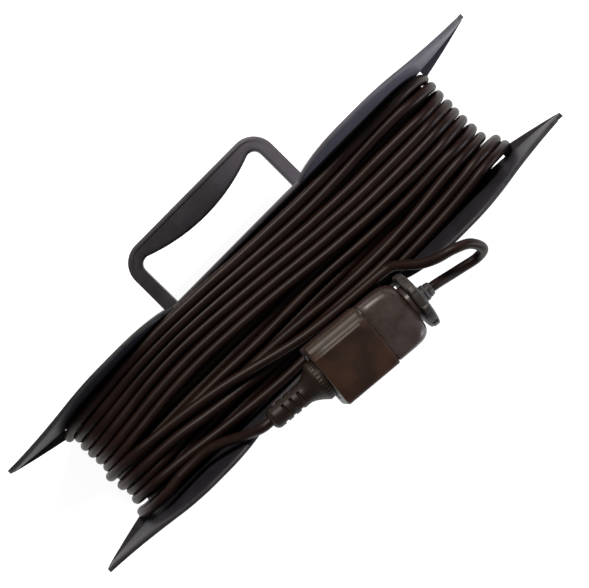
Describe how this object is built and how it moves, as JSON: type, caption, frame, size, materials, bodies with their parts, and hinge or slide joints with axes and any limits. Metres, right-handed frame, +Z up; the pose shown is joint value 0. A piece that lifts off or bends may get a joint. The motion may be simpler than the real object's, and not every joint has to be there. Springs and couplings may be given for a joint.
{
  "type": "extension cord reel",
  "caption": "Hand-held winding frame for an extension cord: splayed pointed cheeks, D-handle, cable wound lengthwise, trailing socket with its own plug pushed in.",
  "frame": {"origin": "middle of the bounding box of the frame (cheeks, handle, core and screws, without the cord and what is on it), on the plane that the reel lies on", "axes": "+X along the reel from tip to tip, +Y towards the handle, +Z up out of the open front of the frame"},
  "size_m": [0.382, 0.1579, 0.1124],
  "materials": {
    "cheek_plastic": "satin charcoal polypropylene",
    "core_plastic": "satin",
    "cable_sheath": "satin dark brown PVC",
    "screw_steel": "zinc plated",
    "socket_brown": "glossy moulded thermoset",
    "carrier_plastic": "matte",
    "clamp_steel": "zinc plated",
    "gland_rubber": "matte",
    "plug_rubber": "satin moulded PVC",
    "bridge_plastic": "matte",
    "contact_brass": "bright",
    "pin_brass": "nickel plated",
    "core_brown": "matte",
    "core_blue": "matte"
  },
  "bodies": {
    "reel": {"handle_cheek": "cheek_plastic", "plain_cheek": "cheek_plastic", "winding_core": "core_plastic", "cable_winding": "cable_sheath", "socket_lead": "cable_sheath", "plug_lead": "cable_sheath", "handle_cheek_screw_left": "screw_steel", "handle_cheek_screw_right": "screw_steel", "plain_cheek_screw_left": "screw_steel", "plain_cheek_screw_right": "screw_steel", "socket_front_shell": "socket_brown", "socket_rear_shell": "socket_brown", "socket_end_cap": "socket_brown", "socket_contact_carrier": "carrier_plastic", "cord_clamp_bar": "clamp_steel", "socket_gland": "gland_rubber", "socket_contact_live": "contact_brass", "socket_contact_neutral": "contact_brass", "socket_core_live": "core_brown", "socket_core_neutral": "core_blue", "terminal_screw_live": "screw_steel", "terminal_screw_neutral": "screw_steel", "shell_screw_upper": "screw_steel", "shell_screw_lower": "screw_steel", "clamp_screw_upper": "screw_steel", "clamp_screw_lower": "screw_steel"},
    "plug": {"plug_body": "plug_rubber", "plug_bridge": "bridge_plastic", "plug_pin_live": "pin_brass", "plug_pin_neutral": "pin_brass"}
  },
  "joints": [
    {"name": "plug_pull", "type": "slide", "parent": "reel", "child": "plug", "axis": [-0.9911, 0.1007, 0.0872], "range_m": [0, 0.03], "deforming": ["plug_lead"]}
  ]
}
